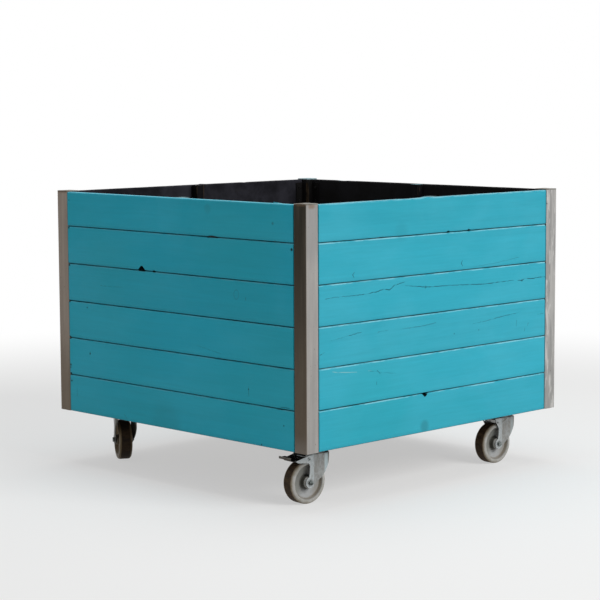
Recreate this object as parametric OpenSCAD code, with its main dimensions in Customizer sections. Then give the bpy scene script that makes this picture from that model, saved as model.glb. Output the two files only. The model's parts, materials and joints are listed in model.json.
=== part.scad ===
/* [Box] */
// Length and width of the box over its corner posts
box_side = 1100; // [1000:10:1300]
// Height of each full board
board_h = 115; // [100:1:130]
// Height of the narrower board at the top of each wall
top_board_h = 105; // [80:1:130]
// Thickness of the boards
board_t = 25; // [22:1:25]
// Open joint between two boards
board_gap = 1; // [1:0.5:4]
// Open joint between the end of a board and its post
end_gap = 0.5; // [0.5:0.5:3]
// Chamfer along the long edges of the boards
board_chamfer = 2; // [1:0.5:4]

/* [Posts and battens] */
// Width of the square steel corner posts
post_w = 50; // [45:1:60]
// Wall of the posts and of the base rails
tube_wall = 3; // [2:0.5:4]
// Outer corner radius of the posts and of the base rails
tube_r = 6; // [4:0.5:6]
// Thickness of the plate that closes each post at the top
cap_t = 3; // [2:0.5:5]
// Width of the wooden batten inside the middle of each wall
batten_w = 30; // [25:1:45]
// Depth of that batten, from the boards into the box
batten_t = 28; // [22:1:30]

/* [Base] */
// Width and height of the square base rails
rail_w = 40; // [35:1:42]
// Thickness of the plywood floor
floor_t = 18; // [12:1:24]
// Diameter of the drain holes in the floor
drain_d = 20; // [10:1:30]
// Thickness of the steel pads that the casters bolt to
pad_t = 6; // [5:1:8]

/* [Caster places] */
// From the left side of the box to the left casters' swivel axes
inset_left = 140; // [130:1:170]
// From the right side of the box to the right casters' swivel axes
inset_right = 113; // [113:1:150]
// From the front of the box to the front casters' swivel axes
inset_front = 145; // [135:1:170]
// From the back of the box to the back casters' swivel axes
inset_back = 127; // [125:1:160]
// Heading of the front right caster as it stands
turn_front_right = -5; // [-180:1:180]
// Heading of the back right caster as it stands
turn_back_right = -2; // [-180:1:180]
// Heading of the back left caster as it stands
turn_back_left = 35; // [-180:1:180]
// Heading of the front left caster as it stands
turn_front_left = -120; // [-180:1:180]

/* [Casters] */
// Diameter of the wheels
wheel_d = 125; // [115:1:125]
// Width of the wheels' tread
wheel_w = 42; // [32:1:42]
// From the swivel axis back to the axle
trail = 40; // [36:1:42]
// Height of a caster from the floor to the top of its plate
caster_h = 162; // [162:1:170]
// Length of the caster plates, along the box's length
plate_l = 105; // [100:1:110]
// Width of the caster plates
plate_w = 85; // [80:1:90]
// Bolt spacing along the plates
bolt_pitch_x = 80; // [76:1:84]
// Bolt spacing across the plates
bolt_pitch_y = 60; // [58:1:64]
// Thickness of the pressed steel of the forks
fork_t = 3; // [2.5:0.5:3.5]
// Diameter of the axles
axle_d = 8; // [8:0.5:12]

/* [Hidden] */
$fn = 48;
fit = 0.05;
SIDES = ["front", "right", "back", "left"];
CORNERS = ["front_right", "back_right", "back_left", "front_left"];
BRAKED = [0, 2];
ROWS = 6;

// Box heights
half = box_side / 2;
box_z = caster_h + pad_t;
box_top = box_z + (ROWS - 1) * (board_h + board_gap) + top_board_h;
wall_in = half - board_t;
post_in = half - post_w;
board_l = 2 * (post_in - end_gap);
rail_top = box_z + rail_w;
floor_z = rail_top + floor_t;

// Angles welded behind the ends of the boards
angle_t = 3;
angle_w = 32;
angle_z = floor_z + 5;
angle_top_gap = 10;
end_screw_inset = 18;

// Screws: shank, head and how far they go into a board
screw_d = 4;
screw_head_d = 9;
screw_head_t = 2.4;
screw_depth = 18;

// Casters, measured from the floor up
axle_z = wheel_d / 2;
plate_t = 4;
plate_z = caster_h - plate_t;
crown_t = 4;
crown_z = caster_h - 23;
crown_top = crown_z + crown_t;
crown_r = 39;
king_r = 6;
race_out = 31;
race_mid = 24;
ball_d = 6;
ball_z = crown_top + 4.5;
ball_count = 12;
pad_l = 150;
pad_w = 120;
bolt_d = 8;
hex_af = 13;
bolt_head_t = 5.3;
nut_t = 6.5;

// How far the hub stands out past the tread on each side
hub_out = 2.5;

// Fork legs, across the wheel and along it from the axle
leg_in = wheel_w / 2 + hub_out + 1.7;
leg_out = leg_in + fork_t;
leg_front = 13;
leg_back = -17;
leg_top = crown_z - axle_z + 1;
wing_turn = 8.5;
hub_r = 16;
// Outline of the flat part of a leg: along the wheel, above the axle
LEG = [[-5, -4], [7, -14.3], [leg_front, -9.5], [leg_front, leg_top], [leg_back, leg_top], [-15, 74],
    [-12, 66], [-5.5, 56], [-1, 48], [-2, 31], [-4, 17]];
// The wing in front of that flat part ends in a curl that turns inwards
curl_at = 42.4;
curl_r = 15;
curl_turn = 60;
curl_z = 37;
// Outlines of the wing and of the curl, along the wing from its bend
WING = [[-0.5, -9.5], [15.4, 4.2], [26.2, 13], [33, 20.5], [38.5, 29], [curl_at, curl_z],
    [curl_at, leg_top], [-0.5, leg_top]];
CURL = [[curl_at, curl_z], [46.5, 45.3], [49, 50.6], [51, 58], [53, 68], [55.5, leg_top], [curl_at, leg_top]];

// Brake lever, along the wheel from the axle and above the axle
brake_pin = [-6.5, 68];
brake_pin_d = 6;
arm_in = leg_out + 0.5;
arm_t = 2.5;
ARM = [[-54, 68], [-48, 62], [-6.5, 56.5], [4, 57], [9, 77], [4, 79.5], [-8, 79], [-23, 75]];
// Side view of the plate that joins the arms behind the wheel
BRIDGE = [[-54, 68], [-48, 62], [-40, 60], [-34, 58], [-34, 61.5], [-46, 65], [-52, 70]];
// Side view of the pedal, with its end turned up
PEDAL = [[-52.4, 70.4], [-46.2, 65.3], [-41, 63.8], [-40, 70], [-48, 75], [-62, 75], [-68, 77], [-71.5, 78.5],
    [-73, 76.5], [-71, 71], [-64, 69], [-57, 69]];
pedal_w = 54;
pedal_r = 6;

// Where the corners' swivel axes are, and how each caster is turned
function caster_at(c) = [
    c < 2 ? half - inset_right : inset_left - half,
    c == 0 || c == 3 ? inset_front - half : half - inset_back
];
TURNS = [turn_front_right, turn_back_right, turn_back_left, turn_front_left];

// Height and lower edge of the board in a row
function row_h(r) = r < ROWS ? board_h : top_board_h;
function row_z(r) = box_z + (r - 1) * (board_h + board_gap);
// Heights of the two screws at each end of a board, low enough to miss the floor
function screw_heights(r) = [for (k = [0.3, 0.75]) row_z(r) + k * row_h(r)];
function has_end_screw(z) = z > angle_z + 5 && z < box_top - angle_top_gap - 5;

module tube(l, w) {
    linear_extrude(l)
        difference() {
            rounded_square(w, w, tube_r);
            rounded_square(w - 2 * tube_wall, w - 2 * tube_wall, tube_r - tube_wall + 0.5);
        }
}

module rounded_square(l, w, r) {
    square([l - 2 * r, w], center = true);
    square([l, w - 2 * r], center = true);
    for (x = [-1, 1]) for (y = [-1, 1])
        translate([x * (l / 2 - r), y * (w / 2 - r)])
            circle(r);
}

module hex_head(af, t) {
    cylinder(d = af / cos(30), h = t, $fn = 6);
}

module hex_nut(af, t, bore) {
    difference() {
        hex_head(af, t);
        translate([0, 0, -1]) cylinder(d = bore + 2 * fit, h = t + 2);
    }
}

// Every screw that enters the board, as places on the front wall
module at_board_screws(r) {
    for (z = screw_heights(r)) if (has_end_screw(z)) for (x = [-1, 1])
        translate([x * (post_in - end_screw_inset), -wall_in, z])
            rotate([-90, 0, 0]) children();
}

module at_batten_screw(r) {
    translate([0, -wall_in, max(row_z(r) + row_h(r) / 2, floor_z + 12)])
        rotate([-90, 0, 0]) children();
}

// Board of one wall, cut with a chamfer along its four long edges and pilot holes from inside
module wall_board(side, r) {
    h = row_h(r);
    c = board_chamfer;
    color("#49b4c0")
        rotate([0, 0, 90 * side])
            difference() {
                translate([board_l / 2, -half, row_z(r)])
                    rotate([90, 0, -90])
                        linear_extrude(board_l)
                            polygon([[-board_t + c, 0], [-c, 0], [0, c], [0, h - c], [-c, h],
                                [-board_t + c, h], [-board_t, h - c], [-board_t, c]]);
                at_board_screws(r) translate([0, 0, -screw_depth])
                    cylinder(d = screw_d + 2 * fit, h = screw_depth + 1);
                at_batten_screw(r) translate([0, 0, -screw_depth])
                    cylinder(d = screw_d + 2 * fit, h = screw_depth + 1);
            }
}

// Corner post with its top plate and the two angles that hold the boards' ends
module post(corner) {
    color("#8d8a85")
        rotate([0, 0, 90 * corner])
            translate([half - post_w / 2, -half + post_w / 2, 0]) {
                translate([0, 0, box_z]) tube(box_top - box_z, post_w);
                translate([0, 0, box_top]) linear_extrude(cap_t) rounded_square(post_w, post_w, tube_r);
                board_angle();
                mirror([1, 1, 0]) board_angle();
            }
}

// Angle for the wall that runs left from the post, with holes for the screws
module board_angle() {
    edge = post_w / 2;
    back = post_w / 2 - board_t;
    difference() {
        translate([0, 0, angle_z])
            linear_extrude(box_top - angle_top_gap - angle_z) {
                translate([-edge - angle_t, -back])
                    square([angle_t + 0.2, board_t - 0.5]);
                translate([-edge - angle_w, -back])
                    square([angle_w, angle_t]);
            }
        for (r = [1:ROWS]) for (z = screw_heights(r)) if (has_end_screw(z))
            translate([-edge - end_screw_inset, -back - 1, z])
                rotate([-90, 0, 0]) cylinder(d = screw_d + 2 * fit, h = angle_t + 2);
    }
}

module batten(side) {
    color("#23282b")
        rotate([0, 0, 90 * side])
            difference() {
                translate([-batten_w / 2, -wall_in, rail_top])
                    cube([batten_w, batten_t, box_top - rail_top]);
                for (r = [1:ROWS]) at_batten_screw(r)
                    translate([0, 0, -1]) cylinder(d = screw_d + 2 * fit, h = batten_t + 2);
            }
}

// Screws with pan heads: through the angles, and through the battens
module screw(grip) {
    translate([0, 0, -screw_depth + 0.5]) cylinder(d = screw_d, h = screw_depth - 0.5 + grip);
    translate([0, 0, grip]) cylinder(d = screw_head_d, h = screw_head_t);
}

module board_screws() {
    color("#b9b6aa")
        for (side = [0:3]) rotate([0, 0, 90 * side])
            for (r = [1:ROWS]) {
                at_board_screws(r) screw(angle_t);
                at_batten_screw(r) screw(batten_t);
            }
}

// Welded base: four rails inside the boards, two cross rails and a pad for each caster
module base_frame() {
    mid = wall_in - rail_w / 2;
    inner = wall_in - rail_w;
    color("#3c3f42") {
        for (y = [-mid, mid]) rail_x(post_in, y);
        for (x = [-mid, mid]) rotate([0, 0, 90]) rail_x(inner, -x);
        for (c = [0, 1]) rail_x(inner, caster_at(c)[1]);
        for (c = [0:3]) translate([caster_at(c)[0], caster_at(c)[1], caster_h]) caster_pad();
    }
}

module rail_x(reach, y) {
    translate([-reach, y, box_z + rail_w / 2])
        rotate([0, 90, 0]) tube(2 * reach, rail_w);
}

module caster_pad() {
    difference() {
        translate([-pad_l / 2, -pad_w / 2, 0]) cube([pad_l, pad_w, pad_t]);
        at_plate_bolts() translate([0, 0, -1]) cylinder(d = bolt_d + 1, h = pad_t + 2);
    }
}

module at_plate_bolts() {
    for (x = [-1, 1]) for (y = [-1, 1])
        translate([x * bolt_pitch_x / 2, y * bolt_pitch_y / 2, 0]) children();
}

// Plywood floor cut round the posts and the battens, with nine drain holes
module floor_panel() {
    edge = wall_in - 1;
    notch = half - post_in + 2;
    drain_pitch = 330;
    color("#6b6459")
        translate([0, 0, rail_top])
            difference() {
                translate([-edge, -edge, 0]) cube([2 * edge, 2 * edge, floor_t]);
                for (x = [-1, 1]) for (y = [-1, 1])
                    translate([x * half - notch, y * half - notch, -1])
                        cube([2 * notch, 2 * notch, floor_t + 2]);
                for (side = [0:3]) rotate([0, 0, 90 * side])
                    translate([-batten_w / 2 - 1, -half, -1])
                        cube([batten_w + 2, board_t + batten_t + 1, floor_t + 2]);
                for (x = [-1:1]) for (y = [-1:1])
                    translate([x * drain_pitch, y * drain_pitch, -1])
                        cylinder(d = drain_d, h = floor_t + 2);
            }
}

// Bolts that hold the casters: head below the plate, nut above the pad
module caster_bolts() {
    under = plate_z - bolt_head_t;
    color("#c3c4bf")
        for (c = [0:3]) translate([caster_at(c)[0], caster_at(c)[1], 0]) at_plate_bolts() {
            translate([0, 0, under]) hex_head(hex_af, bolt_head_t);
            translate([0, 0, plate_z - 0.5]) cylinder(d = bolt_d, h = plate_t + pad_t + nut_t + 3);
            translate([0, 0, box_z]) hex_nut(hex_af, nut_t, bolt_d);
        }
}

// Places a sub-part that turns about a caster's swivel axis
module turned(corner) {
    translate([caster_at(corner)[0], caster_at(corner)[1], 0])
        rotate([0, 0, TURNS[corner]]) children();
}

// Moves to the axle, with the wheel's own axis along X
module at_axle() {
    translate([0, -trail, axle_z]) children();
}

// Fixed part of a caster: plate, upper race, balls and king pin
module caster_plate(corner) {
    color("#c9cbc6")
        translate([caster_at(corner)[0], caster_at(corner)[1], 0]) {
            difference() {
                translate([0, 0, plate_z]) linear_extrude(plate_t) rounded_square(plate_l, plate_w, 8);
                at_plate_bolts() translate([0, 0, plate_z - 1]) cylinder(d = bolt_d + 1, h = plate_t + 2);
            }
            rotate_extrude() difference() {
                translate([king_r - 1, ball_z + 1]) square([race_out - king_r + 1, plate_z - ball_z]);
                translate([race_mid, ball_z]) circle(d = ball_d + 2 * fit);
            }
            for (i = [0:ball_count - 1]) rotate([0, 0, i * 360 / ball_count])
                translate([race_mid, 0, ball_z]) sphere(d = ball_d);
            translate([0, 0, crown_z - 3]) cylinder(r = king_r, h = plate_z - crown_z + 4);
            translate([0, 0, crown_z - 4]) cylinder(r = king_r + 4, h = 3.5);
        }
}

// Pressed fork: crown with the lower race, two legs with wings and round ends for the axle
module fork(corner) {
    color("#c4c8c6") turned(corner) difference() {
        union() {
            translate([0, -trail, crown_z]) linear_extrude(crown_t) crown_outline();
            rotate_extrude() difference() {
                translate([king_r + 2, crown_top - 1]) square([race_out - king_r - 5, 4.5]);
                translate([race_mid, ball_z]) circle(d = ball_d + 2 * fit);
            }
            for (m = [0, 1]) mirror([m, 0, 0]) at_axle() leg();
        }
        translate([0, 0, crown_z - 1]) cylinder(r = king_r + fit, h = crown_t + 6);
        at_axle() rotate([0, 90, 0]) cylinder(d = axle_d + 2 * fit, h = 4 * leg_out, center = true);
        at_axle() translate([0, brake_pin[0], brake_pin[1]])
            rotate([0, 90, 0]) cylinder(d = brake_pin_d + 2 * fit, h = 4 * leg_out, center = true);
    }
}

// Places what belongs to a wing at the bend where it leaves the leg
module at_bend() {
    translate([leg_in, leg_front]) rotate(-wing_turn) children();
}

// Crown seen from above, measured from the axle: between the legs, round in front
module crown_outline() {
    tip = leg_front + curl_at * cos(wing_turn);
    side = leg_in + fork_t * cos(wing_turn) + curl_at * sin(wing_turn);
    nose = side - curl_r;
    polygon([[-leg_out, leg_back], [leg_out, leg_back], [leg_out, leg_front], [side, tip], [-side, tip],
        [-leg_out, leg_front]]);
    for (m = [0, 1]) mirror([m, 0])
        at_bend() translate([fork_t - curl_r, curl_at]) circle(curl_r);
    intersection() {
        translate([0, trail]) circle(crown_r);
        translate([-nose, 0]) square([2 * nose, trail + crown_r]);
    }
}

module leg() {
    translate([leg_in, 0, 0]) rotate([90, 0, 90]) linear_extrude(fork_t) {
        polygon(LEG);
        circle(hub_r);
    }
    at_bend() {
        rotate([90, 0, 90]) linear_extrude(fork_t) polygon(WING);
        intersection() {
            linear_extrude(leg_top) curl_section();
            translate([-curl_r, 0, 0]) rotate([90, 0, 90]) linear_extrude(2 * curl_r) polygon(CURL);
        }
    }
}

// Section of the curl: an arc of the sheet that starts at the end of the wing
module curl_section() {
    far = 2 * curl_r;
    translate([fork_t - curl_r, curl_at]) intersection() {
        difference() {
            circle(curl_r);
            circle(curl_r - fork_t);
        }
        polygon([[0, 0], [far, 0], [far, far * tan(curl_turn / 2)],
            [far * cos(curl_turn), far * sin(curl_turn)]]);
    }
}

// Axle bolt with its head, nut and the two collars beside the hub
module axle(corner) {
    axle_af = 13;
    head_t = 5.3;
    thread = 1.5;
    collar_t = 1.4;
    hub_half = wheel_w / 2 + hub_out;
    color("#aeb2b0") turned(corner) at_axle() rotate([0, 90, 0]) {
        translate([0, 0, -leg_out - head_t - thread])
            cylinder(d = axle_d, h = 2 * (leg_out + head_t) + thread);
        translate([0, 0, leg_out]) hex_head(axle_af, head_t);
        translate([0, 0, -leg_out - head_t]) hex_nut(axle_af, head_t, axle_d);
        for (m = [0, 1]) mirror([0, 0, m]) translate([0, 0, hub_half + fit]) difference() {
            cylinder(d = axle_d + 6, h = collar_t);
            translate([0, 0, -1]) cylinder(d = axle_d + 2 * fit, h = collar_t + 2);
        }
    }
}

// Moulded wheel: crowned tread, dished sides and a hub bored for the bearing
module wheel(corner) {
    r = wheel_d / 2;
    w = wheel_w / 2;
    e = 8;
    color("#d8d6cf") turned(corner) at_axle() rotate([0, 90, 0]) rotate_extrude($fn = 96) {
        polygon([[10, -w - hub_out], [16, -w - hub_out], [19, -5], [46, -10], [51, -w], [r - e, -w],
            [r - e, w], [51, w], [46, 10], [19, 5], [16, w + hub_out], [10, w + hub_out]]);
        translate([r - e - 1, -w + e]) square([e + 1, 2 * (w - e)]);
        for (y = [-1, 1]) translate([r - e, y * (w - e)]) circle(e);
    }
}

module bearing(corner) {
    color("#7c8082") turned(corner) at_axle() rotate([0, 90, 0]) difference() {
        cylinder(r = 10 - fit, h = wheel_w + 2 * hub_out - 1, center = true);
        cylinder(d = axle_d + 2 * fit, h = wheel_w + 8, center = true);
    }
}

// Brake lever: two arms outside the fork, the plate that joins them, and the pivot pin
module brake_lever(corner) {
    reach = arm_in + arm_t;
    color("#c4c8c6") turned(corner) at_axle() {
        for (m = [0, 1]) mirror([m, 0, 0]) translate([arm_in, 0, 0])
            rotate([90, 0, 90]) linear_extrude(arm_t) polygon(ARM);
        translate([-arm_in - 1, 0, 0]) rotate([90, 0, 90]) linear_extrude(2 * arm_in + 2) polygon(BRIDGE);
        translate([0, brake_pin[0], brake_pin[1]]) rotate([0, 90, 0]) {
            cylinder(d = brake_pin_d, h = 2 * reach, center = true);
            for (m = [0, 1]) mirror([0, 0, m]) translate([0, 0, reach - 0.5]) cylinder(d = 10, h = 2);
        }
    }
}

// Pedal moulded on the lever's plate, with rounded corners
module brake_pedal(corner) {
    tip = -73;
    color("#2a2a2b") turned(corner) at_axle() intersection() {
        translate([-pedal_w / 2, 0, 0]) rotate([90, 0, 90]) linear_extrude(pedal_w) polygon(PEDAL);
        translate([0, tip + pedal_w / 2, 50]) linear_extrude(50) rounded_square(pedal_w, pedal_w, pedal_r);
    }
}

for (s = [0:3]) for (r = [1:ROWS])
    wall_board(s, r);
for (c = [0:3])
    post(c);
for (s = [0:3])
    batten(s);
base_frame();
floor_panel();
board_screws();
caster_bolts();
for (c = [0:3]) {
    caster_plate(c);
    fork(c);
    axle(c);
    wheel(c);
    bearing(c);
}
for (c = BRAKED) {
    brake_lever(c);
    brake_pedal(c);
}
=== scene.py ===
"""A rolling planter: painted boards between raw steel posts, on four swivel casters."""
import json
import math
import random

import bmesh
import bpy
from mathutils import Matrix, Vector, noise


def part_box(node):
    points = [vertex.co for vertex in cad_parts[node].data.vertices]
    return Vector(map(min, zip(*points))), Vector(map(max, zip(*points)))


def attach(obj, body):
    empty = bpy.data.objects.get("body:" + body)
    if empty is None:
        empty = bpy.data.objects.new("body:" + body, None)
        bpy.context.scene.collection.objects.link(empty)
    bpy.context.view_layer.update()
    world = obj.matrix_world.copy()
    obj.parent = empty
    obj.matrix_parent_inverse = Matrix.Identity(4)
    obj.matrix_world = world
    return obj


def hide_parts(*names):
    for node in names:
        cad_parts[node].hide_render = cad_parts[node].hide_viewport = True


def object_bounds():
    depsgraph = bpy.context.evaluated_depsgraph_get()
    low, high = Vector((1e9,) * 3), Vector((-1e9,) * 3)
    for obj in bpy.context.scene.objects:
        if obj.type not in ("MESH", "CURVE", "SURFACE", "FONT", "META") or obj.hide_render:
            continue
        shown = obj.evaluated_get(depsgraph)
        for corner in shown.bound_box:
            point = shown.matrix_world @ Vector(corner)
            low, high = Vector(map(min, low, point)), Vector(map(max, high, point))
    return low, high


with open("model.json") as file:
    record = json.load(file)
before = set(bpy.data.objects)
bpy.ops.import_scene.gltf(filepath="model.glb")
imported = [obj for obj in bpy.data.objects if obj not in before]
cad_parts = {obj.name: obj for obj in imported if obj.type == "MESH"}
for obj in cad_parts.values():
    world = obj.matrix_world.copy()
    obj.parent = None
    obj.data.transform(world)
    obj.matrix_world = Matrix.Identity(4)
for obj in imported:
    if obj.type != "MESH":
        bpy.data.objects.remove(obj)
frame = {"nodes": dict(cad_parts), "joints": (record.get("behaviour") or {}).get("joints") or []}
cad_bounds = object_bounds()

MM = 0.001
SIDES = ["front", "right", "back", "left"]
CORNERS = ["front_right", "back_right", "back_left", "front_left"]
BRAKED = ["front_right", "back_left"]
# How dirty each caster is, from 0 to 1; on the front left caster it also stands for painted shade
GRIME_AND_SHADE = {"front_right": 0.08, "back_right": 0.02, "back_left": 0.4, "front_left": 0.9}
# How bright the painted sky reflection on the strip beside the curl of each fork's wing is
SKY_ON_WING = {"front_right": 0.7, "back_right": 0.3, "back_left": 0.3, "front_left": 0.3}
ROWS = range(1, 7)

# Places and sizes read from the frame, in metres
half = cad_bounds[1].x
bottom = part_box("front_board_1")[0].z
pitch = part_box("front_board_2")[0].z - bottom
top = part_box("front_board_6")[1].z
board_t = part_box("front_board_1")[1].y + half
post_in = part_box("batten_front")[0].y + half - board_t + 0.5
wheel_low, wheel_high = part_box("wheel_front_right")
wheel_r = (wheel_high.z - wheel_low.z) / 2
joints = {joint["name"]: joint for joint in frame["joints"]}

# Parts of a caster, from the middle of its wheel
WHEEL_HALF_WIDTH = 21 * MM
LEG_FACE = 28.2 * MM
BRAKE_PIN = (-6.5 * MM, 68 * MM)


# ---------------------------------------------------------------- finishes
def tint(code):
    """Linear colour of a swatch written as hexadecimal sRGB."""
    channels = [int(code[i:i + 2], 16) / 255 for i in (0, 2, 4)]
    return [c / 12.92 if c < 0.04 else ((c + 0.055) / 1.055) ** 2.4 for c in channels] + [1]


class Value:
    """A number that varies over a surface. Arithmetic on it adds Math nodes."""

    def __init__(self, finish, socket):
        self.finish = finish
        self.socket = socket

    def math(self, operation, *others):
        return self.finish.add("Math", {"operation": operation}, dict(enumerate([self, *others])))

    def __add__(self, other):
        return self.math("ADD", other)

    def __sub__(self, other):
        return self.math("SUBTRACT", other)

    def __rsub__(self, other):
        return self * -1 + other

    def __mul__(self, other):
        return self.math("MULTIPLY", other)

    def __truediv__(self, other):
        return self.math("DIVIDE", other)

    __radd__ = __add__
    __rmul__ = __mul__

    def size(self):
        return self.math("ABSOLUTE")


class Finish:
    """A procedural surface finish, built on the piece's own coordinates in metres."""

    def __init__(self, name, centre=(0, 0, 0), heading=0):
        self.material = bpy.data.materials.new(name)
        self.material.use_nodes = True
        self.tree = self.material.node_tree
        self.shader = self.tree.nodes["Principled BSDF"]
        self.place = self.add("TexCoord", {}, {}, "Object")
        if heading or any(centre):
            turn = {0: self.place, 1: centre, 2: (0, 0, heading)}
            self.place = self.add("Mapping", {"vector_type": "TEXTURE"}, turn)
        self.x, self.y, self.z = [self.add("SeparateXYZ", {}, {0: self.place}, axis) for axis in "XYZ"]

    def add(self, kind, settings, inputs, output=0):
        """Adds a node with its settings, such as a ramp's stops, and then its inputs' values or links."""
        node = self.tree.nodes.new("ShaderNode" + kind)
        for key, setting in settings.items():
            if key == "stops":
                stops = node.color_ramp.elements
                while len(stops) < len(setting):
                    stops.new(1)
                for stop, (position, colour) in zip(stops, setting):
                    stop.position = position
                    stop.color = colour
            else:
                setattr(node, key, setting)
        for key, value in inputs.items():
            if isinstance(value, Value):
                self.tree.links.new(value.socket, node.inputs[key])
            else:
                node.inputs[key].default_value = value
        return Value(self, node.outputs[output])

    def noise(self, scale, stretch=(1, 1, 1), detail=3, rough=0.5, warp=0, shift=(0, 0, 0)):
        spot = self.add("Mapping", {}, {0: self.place, 1: shift, 3: stretch})
        inputs = {"Vector": spot, "Scale": scale, "Detail": detail, "Roughness": rough, "Distortion": warp}
        return self.add("TexNoise", {}, inputs)

    def fade(self, value, start, end):
        """0 up to start, 1 from end on, and smooth between them."""
        inputs = {0: value, 1: start, 2: end, 3: 0, 4: 1}
        return self.add("MapRange", {"interpolation_type": "SMOOTHSTEP"}, inputs)

    def either(self, *masks):
        """The strongest of some masks."""
        joined = masks[0]
        for mask in masks[1:]:
            joined = joined.math("MAXIMUM", mask)
        return joined

    def blend(self, mask, under, over):
        """One colour where the mask is 0 and the other where it is 1."""
        return self.add("Mix", {"data_type": "RGBA"}, {0: mask, 6: under, 7: over}, 2)

    def shade(self, colour, factor):
        """Colour made lighter or darker by a factor."""
        grey = self.add("CombineColor", {}, {0: factor, 1: factor, 2: factor})
        settings = {"data_type": "RGBA", "blend_type": "MULTIPLY"}
        return self.add("Mix", settings, {0: 1.0, 6: colour, 7: grey}, 2)

    def distance(self, a, b):
        """Length of the vector whose parts are a and b."""
        return (a * a + b * b).math("SQRT")

    def put(self, colour, rough, height=None, depth=0.5 * MM, metal=0.0, strength=1.0, gloss=0.3):
        """Joins the finish to its shader. Height makes a bump as deep as depth."""
        sockets = {"Base Color": colour, "Roughness": rough, "Metallic": metal, "Specular IOR Level": gloss}
        if height is not None:
            bump = {"Height": height, "Distance": depth, "Strength": strength}
            sockets["Normal"] = self.add("Bump", {}, bump)
        for name, value in sockets.items():
            if isinstance(value, Value):
                self.tree.links.new(value.socket, self.shader.inputs[name])
            else:
                self.shader.inputs[name].default_value = value
        return self.material


# Marks on the walls. Places are along the wall from its middle and up from its lower edge, in millimetres.
# Cracks along the grain: points of along, up and strength
CRACKS = {
    "front": [
        [(-342, 405, 0.3), (-333, 405, 0.45), (-290, 405, 0.2), (-240, 407, 0.15)],
        [(100, 262, 0.1), (151, 254, 0.35), (206, 247, 0.25)],
        [(430, 113, 0.4), (462, 116, 0.9), (497, 115, 0.9)],
        [(448, 120, 0.5), (470, 122, 0.7), (497, 119, 0.4)],
        [(-236, 20, 0.5), (-224, 8, 0.4)],
    ],
    "right": [
        [(-476, 424, 0.5), (-431, 426, 0.4), (-388, 425, 0.5), (-311, 425, 0.8), (-264, 429, 0.9),
         (-240, 434, 0.9), (-217, 429, 1), (-195, 441, 0.9), (-152, 448, 0.5)],
        [(-149, 437, 0.4), (-63, 426, 1), (45, 423, 0.6), (126, 419, 0.7), (204, 415, 0.9), (256, 416, 0.9),
         (312, 416, 0.7), (343, 417, 0.3)],
        [(359, 415, 0.5), (381, 413, 1), (397, 418, 0.7), (428, 415, 1), (468, 417, 0.8), (499, 416, 0.8)],
        [(-454, 306, 0.2), (-365, 316, 0.7), (-331, 319, 0.4)],
        [(-264, 313, 0.4), (-222, 315, 0.2)],
        [(-172, 313, 0.2), (-118, 313, 0.45), (-64, 314, 0.5), (-15, 318, 0.4)],
        [(151, 300, 0.4), (212, 303, 0.35), (283, 310, 0.6), (373, 316, 0.45)],
        [(459, 302, 0.3), (490, 303, 0.45)],
        [(-496, 270, 0.8), (-477, 277, 0.4)],
        [(-297, 205, 0.3), (-189, 187, 0.2)],
        [(-267, 204, 0.7), (-254, 194, 0.7)],
        [(150, 470, 0.2), (270, 476, 0.3), (369, 486, 0.3)],
    ],
    "back": [
        [(-410, 300, 0.4), (-330, 306, 0.8), (-210, 303, 0.6), (-90, 309, 0.3)],
        [(210, 520, 0.5), (330, 514, 0.9), (430, 517, 0.7), (499, 516, 0.8)],
        [(40, 60, 0.3), (160, 66, 0.6), (250, 61, 0.3)],
    ],
    "left": [
        [(-499, 190, 0.9), (-420, 186, 0.8), (-330, 191, 0.5), (-250, 189, 0.2)],
        [(90, 640, 0.3), (200, 634, 0.7), (320, 637, 0.3)],
        [(250, 410, 0.3), (370, 402, 0.8), (460, 405, 0.4)],
    ],
}
# Marks that run up the wall: points of up, along and strength
UPRIGHT_CRACKS = {
    "front": [[(136, 319, 0.25), (150, 318, 0.55), (166, 318, 0.2)], [(408, 308, 0.5), (417, 308, 0.5)],
              [(50, -464, 0.25), (62, -465, 0.35), (76, -464, 0.2)], [(186, -398, 0.7), (197, -395, 0.3)]],
    "right": [[(474, -361, 0.6), (483, -367, 1), (491, -359, 0.5)],
              [(476, 103, 0.7), (485, 96, 1), (493, 102, 0.6)],
              [(163, -269, 0.5), (172, -269, 0.5)], [(274, 355, 0.5), (293, 358, 0.4)],
              [(255, 395, 0.5), (266, 398, 0.3)], [(271, 410, 0.4), (280, 415, 0.5)]],
    "back": [[(395, 120, 0.6), (410, 124, 0.9), (425, 121, 0.4)]],
    "left": [[(70, -60, 0.5), (84, -66, 0.9), (96, -61, 0.5)]],
}
# Pale scuffs: points of along, up and strength
SCUFFS = {
    "front": [],
    "right": [[(-448, 219, 0.5), (-436, 217, 0.9), (-425, 215, 0.2), (-412, 214, 0.8), (-395, 212, 0.9),
               (-349, 208, 0.4)], [(-305, 207, 0.3), (-290, 206, 0.2)]],
    "back": [[(-60, 560, 0.3), (20, 557, 0.7), (60, 556, 0.3)]],
    "left": [[(-180, 300, 0.2), (-110, 298, 0.6), (-70, 298, 0.2)]],
}
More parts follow.
